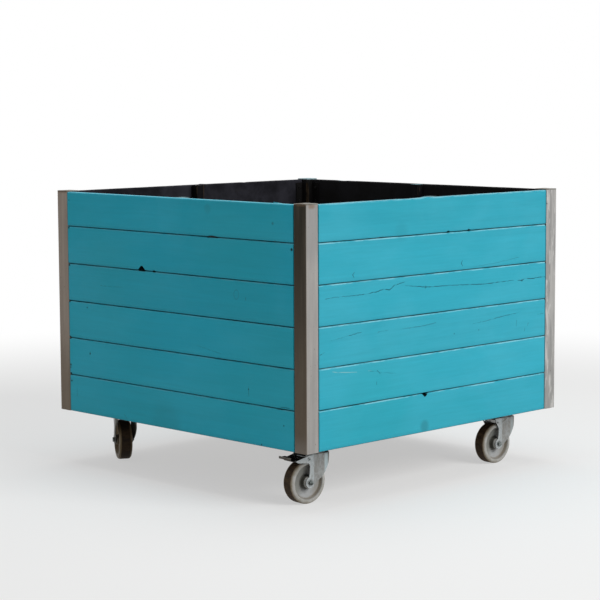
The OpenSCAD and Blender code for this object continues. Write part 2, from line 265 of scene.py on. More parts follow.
# Dark spots of painted shade in nicks, cracks and gaps, such as the corners of boards beside a post: along,
# up, radius and strength
DARK_SPOTS = {
    "front": [(318, 157, 2.2, 0.9), (494, 562, 4, 1), (460, 70, 2.2, 0.8), (370, 5, 2.5, 0.8),
              (-408, 332, 2.6, 0.8), (-397, 190, 3, 0.9), (-491, 96, 3, 0.9), (-495, 138, 3, 0.7),
              (-493, 575, 3.5, 0.9), (-494, 459, 4, 0.9), (-494, 346, 4, 0.9), (-494, 232, 5, 1),
              (-494, 146, 3.5, 0.9), (-494, 118, 4.5, 1), (-490, 660, 2.5, 0.6)],
    "right": [(-63, 426, 4, 0.5), (381, 413, 3.5, 0.6), (178, 279, 2, 0.5), (66, 278, 2.5, 0.4),
              (497, 578, 4, 1), (498, 460, 4, 1), (498, 346, 4, 1)],
    "back": [(-300, 520, 2.5, 0.8), (410, 180, 2.5, 0.8)],
    "left": [(150, 90, 2.4, 0.8), (-330, 560, 2.4, 0.8)],
}
# Where the paint is stained or damp: along, up, radius and strength
STAINS = {
    "front": [(152, 660, 13, 0.22), (420, 630, 4, 0.7), (-40, 12, 60, 0.15)],
    "right": [(-64, 18, 17, 0.55), (-165, 592, 26, 0.16)],
    "back": [(230, 20, 24, 0.4)],
    "left": [(-200, 640, 18, 0.4)],
}
# Knots that show through the paint: along, up and radius of the ring
KNOTS = {
    "front": [(269, 422, 8.5)],
    "right": [],
    "back": [(-120, 180, 10), (300, 640, 12)],
    "left": [(60, 520, 10), (-380, 300, 12)],
}
# Chips out of a board's long edge: along, width and depth. With a depth below 0 the edge stands proud.
NOTCHES = {
    ("front", 5, "low"): [(-146, 34, 13), (-89, 16, 2.5)],
    ("front", 6, "low"): [(170, 48, 2.6)],
    ("front", 5, "high"): [(150, 14, 1)],
    ("right", 1, "high"): [(-61, 24, 10)],
    ("right", 6, "low"): [(39, 14, 3.5), (132, 12, 4), (-240, 60, 0.8)],
    ("right", 6, "high"): [(-50, 34, -1.8), (-120, 90, 0.9)],
    ("left", 6, "high"): [(-240, 26, 1.2), (-44, 20, -1.6)],
    ("back", 6, "high"): [(370, 60, 1)],
    ("back", 3, "low"): [(200, 26, 7)],
    ("left", 2, "high"): [(-180, 30, 8)],
}
# A chip deeper than this, in millimetres, gets painted shade inside
DARK_CHIP = 2
# The end of a board, along the wall from its middle, in millimetres
BOARD_END = 498

# How far the turquoise reaches over the top of each wall before the black starts, in millimetres
RIM_PAINT = {"front": 20, "right": 20, "back": 4, "left": 2}
# Painted light and shade: how much lighter or darker each wall's paint is made for the light that falls on
# it
PAINTED_WALL_LIGHT = {"front": 1.075, "right": 0.955, "back": 1.0, "left": 1.0}
# How much darker the upper boards are
TOP_SHADE = {"front": 0.0, "right": 0.1, "back": 0.0, "left": 0.0}
# The two tones of black paint on the inner face; the left wall's lighter tones are painted light where the
# lamp falls on it
INNER_BLACK = {"front": ("0a0a0a", "17171b"), "right": ("0a0a0a", "17171b"), "back": ("080808", "19191c"),
        "left": ("15151a", "303037")}
# The end of the boards with a dark gap beside the post: its way along the wall, its width and how dark
END_SHADE = {"front": (-1, 2, 0.6), "right": (1, 5, 0.85), "back": (1, 1, 0.4), "left": (-1, 1, 0.4)}
# The two tones of turquoise on the outer face
PAINT = {"front": ("24abc4", "31afc8"), "right": ("33abc1", "3dafc5"), "back": ("30abc1", "3aafc5"),
         "left": ("30abc1", "3aafc5")}
# Painted highlight: how strongly the boards' high edges are painted pale, where they catch the light
EDGE_HIGHLIGHT = {"front": 0.25, "right": 0.7, "back": 0.6, "left": 0.5}

CRACK_WIDTH = 1.5 * MM
SCUFF_WIDTH = 1.6 * MM


def crack(finish, along, up, points, wobble, width):
    """Mask of a thin line through points of along, up and strength. A ramp holds its height and opacity."""
    first, last = points[0][0] * MM, points[-1][0] * MM
    low = min(p[1] for p in points) * MM
    span = max(max(p[1] for p in points) * MM - low, MM)
    stops = []
    for a, b, strength in points:
        level = (b * MM - low) / span
        stops.append(((a * MM - first) / (last - first), (level, level, level, strength)))
    travel = (along - first) / (last - first)
    ramp = finish.add("ValToRGB", {"stops": stops}, {0: travel})
    opacity = Value(finish, ramp.socket.node.outputs["Alpha"])
    off = (up - ramp * span - wobble - low).size()
    within = finish.fade((travel - 0.5).size(), 0.505, 0.495)
    return finish.fade(off, width, width * 0.35) * within * opacity


def spot(finish, along, up, a, b, radius, soft):
    """Mask of a round spot at a and b whose edge is soft."""
    reach = finish.distance(along - a * MM, up - b * MM)
    return finish.fade(reach, radius * MM * (1 + soft), radius * MM * (1 - soft))


def chip(finish, along, up, depth, middle, level, width, deep):
    """Mask of the painted shade inside a chip in a board's edge."""
    near = finish.fade((along - middle * MM).size(), width / 2 * MM, (width / 2 - 3) * MM)
    tall = finish.fade((up - level * MM).size(), (deep + 4) * MM, deep * MM)
    return near * tall * finish.fade(depth, 1.2 * MM, 2.4 * MM)


def painted_boards(side):
    """Turquoise paint over sawn grain, with cracks and stains. Painted shade in the joints, chips, nicks,
    board ends and along lower edges, painted highlights on high edges and painted light per wall. Black on
    the inner face.
    """
    name = SIDES[side]
    f = Finish("painted_" + name)
    along = [f.x, f.y, f.x * -1, f.y * -1][side]
    outward = [f.y * -1, f.x, f.y, f.x * -1][side]
    depth = half - outward
    up = f.z - bottom
    run = (0.06, 1, 1) if side % 2 == 0 else (1, 0.06, 1)
    shift = (3.7 * side, 1.3 * side, 0.6 * side)

    row = (up / pitch).math("FLOOR")
    in_row = up - row * pitch
    board = f.add("TexWhiteNoise", {"noise_dimensions": "1D"}, {"W": row + 10 * side + 0.5})
    board_along = f.add("TexWhiteNoise", {"noise_dimensions": "1D"}, {"W": row + 10 * side + 5.5})

    cloud = f.noise(3.5, (1, 1, 1.6), 4, 0.55, 0.4, shift)
    patch = f.noise(1.6, (1, 1, 1), 2, 0.5, 0, (2 + side, 5, 1))
    grain = f.noise(34, run, 5, 0.6, 0.6, shift)
    fibre = f.noise(190, run, 2, 0.6, 0, shift)
    brush = f.noise(22, (run[0] * 3, run[1] * 3, 7), 2, 0.5, 0, (1, 1 + side, 0))
    wobble = (f.noise(120, (1, 1, 0.2), 2, 0.6, 0, shift) - 0.5) * 0.005

    broken = f.fade(f.noise(55, (1, 1, 0.4), 3, 0.6, 0, shift), 0.38, 0.52) * 0.75 + 0.25
    lines = [crack(f, along, up, points, wobble, CRACK_WIDTH) * broken for points in CRACKS[name]]
    lines += [crack(f, up, along, points, wobble * 0.4, CRACK_WIDTH) for points in UPRIGHT_CRACKS[name]]
    scuffs = [crack(f, along, up, points, wobble * 0.2, SCUFF_WIDTH) for points in SCUFFS[name]]
    dots = [spot(f, along, up, a, b, radius, 0.35) * dark for a, b, radius, dark in DARK_SPOTS[name]]
    damp = [spot(f, along, up, a, b, radius, 0.45) * dark for a, b, radius, dark in STAINS[name]]
    rings = []
    for a, b, radius in KNOTS[name]:
        reach = f.distance(along - a * MM, (up - b * MM) * 0.75) + (cloud - 0.5) * 0.012
        rings.append(f.fade((reach - radius * MM).size(), 2.2 * MM, 0.3 * MM) * 0.5)
    way, reach, dark = END_SHADE[name]
    ends = f.fade(along * way, (BOARD_END - 0.5 - reach) * MM, BOARD_END * MM) * dark
    # Cracks, with painted shade in the dark spots and in the gap at the boards' ends beside the posts
    cracks_and_shade_marks = f.either(ends, *lines, *dots)
    knots = f.either(*rings) if rings else 0.0

    patchy = f.noise(45, (run[0] * 6, run[1] * 6, 1), 4, 0.7)
    low_edge = f.fade(in_row, 5 * MM, 0.5 * MM)
    high_edge = f.either(f.fade(pitch - in_row, 6 * MM, 2.8 * MM), f.fade(f.z, top - 5 * MM, top - 2 * MM))
    outer = f.fade(depth, 6 * MM, 3 * MM)
    worn = low_edge * f.fade(patchy, 0.58, 0.7)
    # Painted highlight along the boards' high edges, weaker on the upper rows
    crest_highlight = high_edge * outer * f.fade(patchy, 0.62, 0.42) * (1 - f.fade(row, 4, 5) * 0.55) * EDGE_HIGHLIGHT[name]

    paint = f.blend(f.fade(cloud, 0.36, 0.66), *[tint(code) for code in PAINT[name]])
    paint = f.blend(f.fade(patch, 0.4, 0.62) * 0.5, paint, tint("28a6b6"))
    # Painted light and shade: each wall's paint made lighter or darker for its light, and darker towards
    # the top by TOP_SHADE
    painted_light_level = (1 - f.fade(up, 520 * MM, 620 * MM) * TOP_SHADE[name]) * PAINTED_WALL_LIGHT[name]
    grained = 0.95 + board * 0.06 + (grain - 0.5) * 0.16 + (brush - 0.5) * 0.08 + (fibre - 0.5) * 0.12
    paint = f.shade(paint, painted_light_level * grained)
    # Painted shade: darker towards each board's lower edge, above the joint, and darkest on its lowest
    # arris
    paint = f.blend(f.fade(in_row, 14 * MM, 0) * 0.22, paint, tint("1f7f92"))
    paint = f.blend(f.fade(in_row, 2.4 * MM, 0.9 * MM) * 0.7, paint, tint("11363e"))
    paint = f.blend(worn * 0.75, paint, tint("1b4a52"))
    paint = f.blend(crest_highlight, paint, tint("98d9e6"))
    paint = f.blend(f.either(*damp), paint, tint("2b7f8c"))
    paint = f.blend(knots, paint, tint("24839a"))
    if scuffs:
        paint = f.blend(f.either(*scuffs) * 0.8, paint, tint("8fc0bd"))
    paint = f.blend(cracks_and_shade_marks, paint, tint("12353c"))

    inner_cloud = f.noise(9, (1, 1, 1), 5, 0.65, 0.3, (7, 2, side))
    black = f.blend(f.fade(inner_cloud, 0.35, 0.7), *[tint(code) for code in INNER_BLACK[name]])
    black = f.blend(f.fade(f.noise(26, run, 4, 0.6, 0.5), 0.66, 0.75) * 0.4, black, tint("3a3632"))
    rim = f.fade(f.z, top - 4.5 * MM, top - 3.5 * MM)
    rim_line = depth + (cloud - 0.5) * 0.012 - RIM_PAINT[name] * MM
    # Painted shade in the gaps between boards and inside the deeper chips, left off at the top of the wall
    joint = f.either(f.fade(in_row, 1.2 * MM, 0.4 * MM), f.fade(pitch - in_row, 2.4 * MM, 1.6 * MM))
    joint = joint * f.fade(depth, 3.2 * MM, 5 * MM) * (0.4 + f.fade(patchy, 0.35, 0.6) * 0.6)
    for (wall, number, edge), cuts in NOTCHES.items():
        level = ((number - 1) * pitch if edge == "low" else number * pitch) / MM
        joint = f.either(joint, *[chip(f, along, up, depth, middle, level, width, deep)
                                  for middle, width, deep in cuts if wall == name and deep > DARK_CHIP])
    joint = joint * f.fade(f.z, top - 2 * MM, top - 4 * MM)
    paint = f.blend(joint, paint, tint("0d1719"))
    inside = f.either(f.fade(depth, board_t - 5 * MM, board_t - 3.8 * MM),
                      rim * f.fade(rim_line, -1.5 * MM, 1.5 * MM))
    colour = f.blend(inside, paint, black)

    rough = 0.4 + (cloud - 0.5) * 0.2 + cracks_and_shade_marks * 0.3 + inside * 0.45 + (board_along - 0.5) * 0.08
    height = grain * 0.5 + fibre * 0.14 + brush * 0.12 - cracks_and_shade_marks * 2.2 - knots * 0.3 - worn * 0.5
    return f.put(colour, rough, height, 0.9 * MM, strength=0.55, gloss=0.12)


def post_steel():
    """Raw steel, brushed along the post. Painted light and reflection: darker and browner on the faces
    toward the front, lighter on the faces toward the right. Black paint inside the box.
    """
    f = Finish("raw_post_steel")
    streak = f.noise(9, (9, 9, 0.35), 5, 0.62, 0.2)
    fine = f.noise(160, (1, 1, 0.03), 3, 0.6)
    cloud = f.noise(7, (2.2, 2.2, 1), 5, 0.6, 0.5)
    speck = f.noise(170, (1, 1, 0.7), 2, 0.5)

    facing_front = f.fade(f.y, 4 * MM - half, 1.5 * MM - half)
    facing_right = f.fade(f.x + f.y, -2 * MM, 6 * MM) * f.fade(f.x, 0, 0.1)
    on_right = f.fade(f.x, 0, 0.1)
    at_back = f.fade(f.y, 0, 0.1)
    level = f.fade(f.z, bottom, top)

    # Painted light and reflection: faces toward the front are darker copies of the steel, the left posts'
    # darker towards the bottom
    plain = f.blend(f.fade(streak, 0.3, 0.7), tint("8b8279"), tint("9c958c"))
    warm = f.blend(f.fade(streak, 0.3, 0.7), tint("776d64"), tint("877d73"))
    warm = f.blend(f.fade(f.z, bottom + 320 * MM, bottom + 60 * MM) * 0.65, warm, tint("5f5446"))
    # Painted shade and reflection on the front faces of the right posts: brown, darker upward
    shaded_brown = f.blend(f.fade(f.z, bottom + 60 * MM, bottom), tint("594f44"), tint("6d655d"))
    shaded_brown = f.blend(level, shaded_brown, tint("2c2922"))
    shaded_brown = f.blend(f.fade(streak, 0.45, 0.75) * 0.3, shaded_brown, tint("665e52"))
    # Painted light on the right face of the front post, with painted shade near its top
    bright = f.blend(f.fade(streak, 0.35, 0.66), tint("9a9794"), tint("a6a29e"))
    bright = f.blend(f.fade(f.z, top - 190 * MM, top - 110 * MM) * 0.7, bright, tint("8f8e8d"))
    # Painted highlight streaks on the right face of the back post
    highlight_streaks = f.noise(18, (4, 4, 0.7), 3, 0.6, 0.5)
    silver = f.blend(f.fade(streak, 0.42, 0.6), tint("969593"), tint("b1afac"))
    silver = f.blend(f.fade(highlight_streaks, 0.52, 0.64) * 0.8, silver, tint("c6c4c1"))

    colour = f.blend(facing_front, plain, f.blend(on_right, warm, shaded_brown))
    colour = f.blend(facing_right, colour, f.blend(at_back, bright, silver))
    colour = f.shade(colour, 0.9 + (cloud - 0.5) * 0.25 + fine * 0.2)
    colour = f.blend(f.fade(speck, 0.7, 0.78) * 0.55, colour, tint("3d352d"))

    lid = f.fade(f.z, top - 1 * MM, top + 1 * MM)
    rust_place = f.distance(f.y + half - 22 * MM, (f.z - top + 3 * MM) * 1.6) + (cloud - 0.5) * 0.02
    rust = f.either(f.fade(rust_place, 18 * MM, 4 * MM) * facing_right * (1 - at_back),
                    f.fade(f.z, top - 6 * MM, top) * f.fade(cloud, 0.5, 0.62) * 0.6)
    colour = f.blend(rust * 0.6, colour, tint("80654b"))
    cap = f.blend(f.fade(cloud, 0.42, 0.6), tint("7f7d77"), tint("63594d"))
    cap = f.blend(f.fade(f.x, 0, -0.1) * at_back, cap, tint("87a5ad"))
    colour = f.blend(lid, colour, cap)

    far_reach = f.x.size().math("MAXIMUM", f.y.size())
    near_reach = f.x.size().math("MINIMUM", f.y.size())
    inside = f.fade(far_reach, half - board_t + 3 * MM, half - board_t + 1.5 * MM) * (1 - lid)
    edges = [f.fade(reach, post_in + 5 * MM, post_in + 2 * MM) for reach in (far_reach, near_reach)]
    chipped = f.fade(f.noise(30, (1, 1, 0.4), 4, 0.6), 0.45, 0.62)
    edge = edges[0] * edges[1] * chipped * f.fade(f.z, top - 160 * MM, top - 20 * MM)
    black = f.blend(f.fade(cloud, 0.4, 0.7), tint("080808"), tint("121111"))
    black = f.blend(edge * 0.7, black, tint("4c3e2e"))
    colour = f.blend(inside, colour, black)

    rough = 0.44 + (streak - 0.5) * 0.25 + rust * 0.25 + inside * 0.1
    height = streak * 0.5 + fine * 0.35 + speck * 0.1
    metal = (1 - f.either(inside, rust, lid)) * 0.75
    return f.put(colour, rough, height, 0.25 * MM, metal=metal, strength=0.5, gloss=0.1)


def batten_paint():
    """Black paint on sawn wood, worn to wood at the corners, with the walls' colour on the end grain."""
    f = Finish("batten_paint")
    grain = f.noise(40, (1, 1, 0.06), 5, 0.6, 0.5)
    wear = f.noise(38, (1, 1, 0.3), 4, 0.65)
    reach = f.x.size().math("MINIMUM", f.y.size())
    arris = f.fade(reach, 13 * MM, 15 * MM) * f.fade(wear, 0.5, 0.62)
    colour = f.blend(f.fade(grain, 0.35, 0.7), tint("08080a"), tint("151417"))
    colour = f.blend(arris * 0.8, colour, tint("64533d"))
    end = f.fade(f.z, top - 1.5 * MM, top - 0.3 * MM)
    colour = f.blend(end * f.fade(f.x, -0.4, -0.3), colour, tint("6f949b"))
    return f.put(colour, 0.6 + (grain - 0.5) * 0.2, grain + wear * 0.3, 0.8 * MM, gloss=0.06)


def frame_paint():
    """Dark grey paint on welded tube, made darker as painted shade under the box, with rust along the edges
    and drips.
    """
    f = Finish("frame_paint")
    cloud = f.noise(14, (1, 1, 1), 5, 0.6)
    rust = f.fade(f.noise(24, (1, 1, 1), 6, 0.7, 0.4), 0.58, 0.68)
    colour = f.blend(f.fade(cloud, 0.35, 0.7), tint("1c1d1f"), tint("2d3032"))
    colour = f.blend(rust * 0.6, colour, tint("4d3222"))
    peel = f.noise(260, (1, 1, 1), 2)
    return f.put(colour, 0.42 + rust * 0.35, peel * 0.4 + rust * 0.6, 0.4 * MM)


def plywood():
    """Plywood stained by damp soil, with the face veneer's grain and its plies at the edges."""
    f = Finish("stained_plywood")
    grain = f.noise(20, (0.12, 1.6, 1), 6, 0.62, 1.2)
    damp = f.noise(3, (1, 1, 1), 4, 0.55)
    dirt = f.noise(90, (1, 1, 1), 3, 0.7)
    colour = f.blend(f.fade(grain, 0.32, 0.68), tint("6f5c43"), tint("927a58"))
    colour = f.blend(f.fade(damp, 0.42, 0.66) * 0.75, colour, tint("3b3023"))
    colour = f.blend(f.fade(dirt, 0.6, 0.7) * 0.7, colour, tint("1f1a15"))
    ply = f.add("TexWave", {"bands_direction": "Z"}, {"Vector": f.place, "Scale": 110.0, "Distortion": 0.6})
    colour = f.shade(colour, 0.85 + ply * 0.2)
    return f.put(colour, 0.72 + (grain - 0.5) * 0.2, grain + dirt * 0.3, 0.7 * MM)


def axle_frame(corner):
    """Middle of a wheel and its axle's heading. There X runs along the axle, Y to the king pin and Z up."""
    roll = joints["roll_" + corner]
    return tuple(roll["pos_m"]), math.atan2(roll["axis"][1], roll["axis"][0])


def zinc_plate():
    """Zinc on the plates under the box, dirty and painted dark as the shade under it, with brown in the
    corners.
    """
    f = Finish("plate_zinc")
    cloud = f.noise(30, (1, 1, 1), 5, 0.62, 0.6)
    colour = f.blend(f.fade(cloud, 0.35, 0.68), tint("5c5d59"), tint("777873"))
    colour = f.blend(f.fade(f.noise(70, (1, 1, 1), 4, 0.7), 0.55, 0.7) * 0.5, colour, tint("3a3027"))
    return f.put(colour, 0.5 + (cloud - 0.5) * 0.25, cloud, 0.25 * MM, metal=0.4)


def fork_zinc(corner):
    """Zinc on a pressed fork and lever, mottled on the wing, with painted light: pale on the flat band,
    darker on the wing and curl, a painted sky reflection by the curl.
    """
    grime_and_shade = GRIME_AND_SHADE[corner]
    f = Finish("fork_zinc_" + corner, *axle_frame(corner))
    cloud = f.noise(38, (1, 1, 1), 5, 0.62, 0.6)
    blotch = f.noise(75, (1, 1, 0.6), 4, 0.6, 0.8)
    spangle = f.add("TexVoronoi", {}, {"Vector": f.place, "Scale": 220.0}, "Color")
    spangle = f.add("SeparateColor", {}, {0: spangle})
    scratch = f.noise(160, (1, 1, 0.18), 4, 0.7, 0.2)

    across = f.x.size()
    wing = f.fade(f.y, 11.5 * MM, 13.5 * MM)
    bright = f.fade(f.y + (cloud - 0.5) * 0.008, 44 * MM, 50 * MM)
    curl = f.fade(f.y, 57 * MM, 61 * MM)
    colour = f.blend(f.fade(cloud, 0.35, 0.68), tint("abb0b1"), tint("bbc0c1"))
    # Painted shade: the wing, bent away from the light, is a darker mottled copy of the band
    colour = f.blend(wing, colour, f.blend(f.fade(blotch, 0.36, 0.66), tint("8b8a87"), tint("9fa2a1")))
    # Painted sky reflection on the strip beside the curl
    colour = f.blend(bright * SKY_ON_WING[corner], colour, tint("b8c8cc"))
    # Painted shade on the curl, which turns away from the light
    colour = f.blend(curl * 0.9, colour, tint("66665f"))
    pin = f.fade(f.distance(f.y - BRAKE_PIN[0], f.z - BRAKE_PIN[1]), 3.6 * MM, 2.6 * MM)
    colour = f.blend(pin * 0.8, colour, tint("2f2f2c"))
    if corner == "back_right":
        stamped = crack(f, f.y, f.z, [(14, 66.5, 0.6), (24, 73, 0.8), (33, 77, 0.7)], 0, 2.4 * MM)
        colour = f.blend(stamped, colour, tint("5c5850"))
    colour = f.shade(colour, 0.93 + spangle * 0.08 + (scratch - 0.5) * 0.12)

    # Painted shade where little light reaches: inside the legs, close under the box, in the fork's top and
    # in the lever
    low_inside = f.fade(f.z, 0, 30 * MM) * f.fade(f.z, 68 * MM, 60 * MM)
    inner = f.fade(across, LEG_FACE - 1 * MM, LEG_FACE - 2 * MM)
    under_box = f.fade(f.z + (cloud - 0.5) * 0.006, 76 * MM, 79 * MM)
    hidden = f.either(inner * low_inside, under_box * 0.25)
    colour = f.blend(hidden * 0.85, colour, tint("3b3934"))
    lever_inside = f.fade(across, 28.3 * MM, 28.6 * MM) * f.fade(across, 30.2 * MM, 29.4 * MM)
    under_pedal = f.either(inner, lever_inside) * f.fade(f.y, -4 * MM, -9 * MM)
    under_pedal = under_pedal * f.fade(f.z, 55 * MM, 62 * MM)
    colour = f.blend(under_pedal * 0.95, colour, tint("0f0f0e"))

    # Painted shade around the axle nut
    around_axle = f.fade(f.distance(f.y, f.z), 14 * MM, 10 * MM)
    colour = f.blend(around_axle * 0.3, colour, tint("5b5c58"))
    # Dirt, which on the front left caster also stands for painted shade
    dirt = f.fade(blotch + cloud * 0.4, 0.76 - grime_and_shade * 0.3, 0.9 - grime_and_shade * 0.3)
    dirt = dirt * (1 - f.fade(f.z, 54 * MM, 68 * MM) * 0.8)
    colour = f.blend(dirt * (0.4 + 0.45 * grime_and_shade), colour, tint("5d574a"))
    if corner == "front_left":
        # Darker towards the bottom of the front left fork
        lower_leg_darker = f.fade(f.z + (cloud - 0.5) * 0.05 + (scratch - 0.5) * 0.02, 74 * MM, 40 * MM)
        colour = f.blend(lower_leg_darker * 0.85, colour, tint("403f38"))

    rough = 0.4 + (cloud - 0.5) * 0.25 + hidden * 0.2 + under_pedal * 0.5
    height = spangle * 0.12 + scratch * 0.35 + blotch * 0.4
    metal = 0.55 - f.either(hidden * 0.3, under_pedal * 0.5)
    return f.put(colour, rough, height, 0.22 * MM, metal=metal)


def nylon(corner):
    """Pale nylon with dirt worn into the tread, tan on the shoulders and brown in the dish from dirt and
    painted shade, with painted shade on the dish's upper front and around the hub.
    """
    grime_and_shade = GRIME_AND_SHADE[corner]
    f = Finish("nylon_" + corner, *axle_frame(corner))
    radius = f.distance(f.y, f.z)
    across = f.x.size()
    cloud = f.noise(40, (1, 1, 1), 5, 0.6, 0.4)
    fine = f.noise(260, (1, 1, 1), 3, 0.6)
    ring = f.add("TexWave", {"wave_type": "RINGS", "rings_direction": "X"},
                 {"Vector": f.place, "Scale": 60.0, "Distortion": 1.5, "Detail": 2.0})
    uneven = (cloud - 0.5) * 0.006
    outside = f.fade(radius, wheel_r - 11 * MM, wheel_r - 9 * MM)
    tread = outside * f.fade(across + uneven, 17 * MM, 12 * MM)
    shoulder = outside * f.fade(across + uneven, 22 * MM, 16 * MM)
    dish = f.fade(across, WHEEL_HALF_WIDTH - 1 * MM, WHEEL_HALF_WIDTH - 5 * MM)
    dish = dish * f.fade(radius, 52 * MM, 49 * MM)
    hub = f.fade(radius, 27 * MM, 19 * MM) * dish

    colour = f.blend(f.fade(cloud, 0.35, 0.68), tint("aaa9a3"), tint("bab9b6"))
    colour = f.shade(colour, 0.95 + ring * 0.05 + (fine - 0.5) * 0.05)
    colour = f.blend(dish * 0.8, colour, tint("a9abac"))
    # Browner on the dish's outer wall: dirt and painted shade
    outer_dish = f.fade(radius + uneven, 43 * MM, 47 * MM) * dish
    colour = f.blend(outer_dish * 0.6, colour, tint("80735f"))
    # Painted shade on the upper front of the dish
    high_dish = f.fade(f.z * 0.5 - f.y * 0.85, -8 * MM, 20 * MM) * dish
    colour = f.blend(high_dish * 0.7, colour, tint("74736a"))
    # Browner behind the axle: dirt and painted shade
    behind_axle = f.fade(f.y, 12 * MM, 34 * MM) * dish
    colour = f.blend(behind_axle * 0.45, colour, tint("807767"))
    # Painted shade around the hub
    colour = f.blend(hub * 0.9, colour, tint("3c3b34"))
    colour = f.blend(shoulder * 0.85, colour, tint("84745a"))

    # Dirt, which on the front left wheel also stands for painted shade
    soiled_and_shaded = f.fade(cloud, 0.62 - 0.5 * grime_and_shade, 0.78 - 0.3 * grime_and_shade) * (0.3 + 0.5 * grime_and_shade)
    colour = f.blend(soiled_and_shaded, colour, tint("75603f" if corner == "front_left" else "4a3e30"))
    rubbed = f.blend(f.fade(f.noise(60, (0.4, 1, 1), 5, 0.7), 0.4, 0.66), tint("2b2016"), tint("4c3b29"))
    # Painted shade: the front left wheel's tread is darker
    if corner == "front_left":
        rubbed = f.shade(rubbed, 0.6)
    colour = f.blend(tread, colour, rubbed)
    rough = 0.45 + tread * 0.3 + (fine - 0.5) * 0.1
    return f.put(colour, rough, fine * 0.3 + cloud * 0.4 + tread * f.noise(150) * 0.8, 0.35 * MM, gloss=0.2)


def pedal_plastic(corner):
    """Black moulding with a fine grain, dusty brown on its turned-up end, and pale along its edge from
    rubbing and a painted highlight.
    """
    f = Finish("pedal_plastic_" + corner, *axle_frame(corner))
    grainy = f.noise(420, (1, 1, 1), 2, 0.6)
    cloud = f.noise(90, (1, 1, 1), 4, 0.6)
    end = f.fade(f.y + (cloud - 0.5) * 0.003, -69 * MM, -70.5 * MM)
    # Pale along the top edge of the turned-up end: rubbing and a painted highlight
    edge = f.fade(f.z + (cloud - 0.5) * 0.002, 76 * MM, 77.4 * MM) * end
    colour = f.blend(f.fade(cloud, 0.5, 0.7) * 0.3, tint("090909"), tint("1c1b1a"))
    colour = f.blend(end, colour, tint("6a635d"))
    colour = f.blend(edge, colour, tint("a39e97"))
    return f.put(colour, 0.75 - edge * 0.15, grainy + edge * 0.3, 0.3 * MM, gloss=0.02)


def dark_steel(name, light, dark, metal=0.8):
    """Oiled, plated or painted steel of the small fittings."""
    f = Finish(name)
    cloud = f.noise(60, (1, 1, 1), 5, 0.6)
    colour = f.blend(f.fade(cloud, 0.35, 0.68), tint(dark), tint(light))
    return f.put(colour, 0.34 + (cloud - 0.5) * 0.3, cloud, 0.2 * MM, metal=metal)


# ---------------------------------------------------------------- pieces
def piece(name, bm, material, body, slot, *nodes):
    """A finished mesh that rides on a body and stands for some CAD nodes. Its flat faces look flat."""
    mesh = bpy.data.meshes.new(name)
    bm.to_mesh(mesh)
    bm.free()
    for face in mesh.polygons:
        face.use_smooth = True
    mesh.materials.append(material)
    obj = bpy.data.objects.new(name, mesh)
    bpy.context.scene.collection.objects.link(obj)
    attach(obj, body)
    if nodes:
        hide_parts(*nodes)
    modifier = obj.modifiers.new("flat_faces", "WEIGHTED_NORMAL")
    modifier.weight = 80


# Vertices closer than this are one vertex
MERGE = 0.01 * MM
# Angles between faces, in degrees: from the first on, an edge is rounded, and up to the second, faces join
SHARP = 35
FLAT = 0.5


def round_off(bm, edges, radius, segments, **settings):
    """Bevels edges with a round profile."""
    bmesh.ops.bevel(bm, geom=edges, offset=radius, segments=segments, profile=0.5, affect="EDGES",
                    material=-1, **settings)


def copy_of(node, edge):
    """A copy of a CAD node with merged faces and its sharp edges rounded."""
    bm = bmesh.new()
    bm.from_mesh(frame["nodes"][node].data)
    bmesh.ops.remove_doubles(bm, verts=bm.verts, dist=MERGE)
    bmesh.ops.dissolve_limit(bm, angle_limit=math.radians(FLAT), verts=bm.verts, edges=bm.edges)
    corners = [e for e in bm.edges if e.calc_face_angle(0) > math.radians(SHARP)]
    round_off(bm, corners, edge, 2, clamp_overlap=True)
    bmesh.ops.triangulate(bm, faces=[f for f in bm.faces if len(f.verts) > 4])
    return bm


# Roundings of a board's long edges and of its ends
BOARD_EDGE = 3.6 * MM
END_EDGE = 0.9 * MM
# Cuts across a board's length and height, which carry its unevenness
LENGTH_CUTS = 180
HEIGHT_CUTS = 11
LONG_EDGE = 10 * MM
# How uneven an edge is: the walls' lowest and highest edges, and every other edge
RIM_UNEVEN = {(1, "low"): 0.15, (6, "high"): 0.4}
JOINT_UNEVEN = 0.7
# How far into a board an uneven edge and a chip reach
UNEVEN_REACH = 22 * MM
CHIP_REACH = 26 * MM


def run_of(edge, axis):
    """How far an edge runs along an axis."""
    return abs(edge.verts[0].co[axis] - edge.verts[1].co[axis])


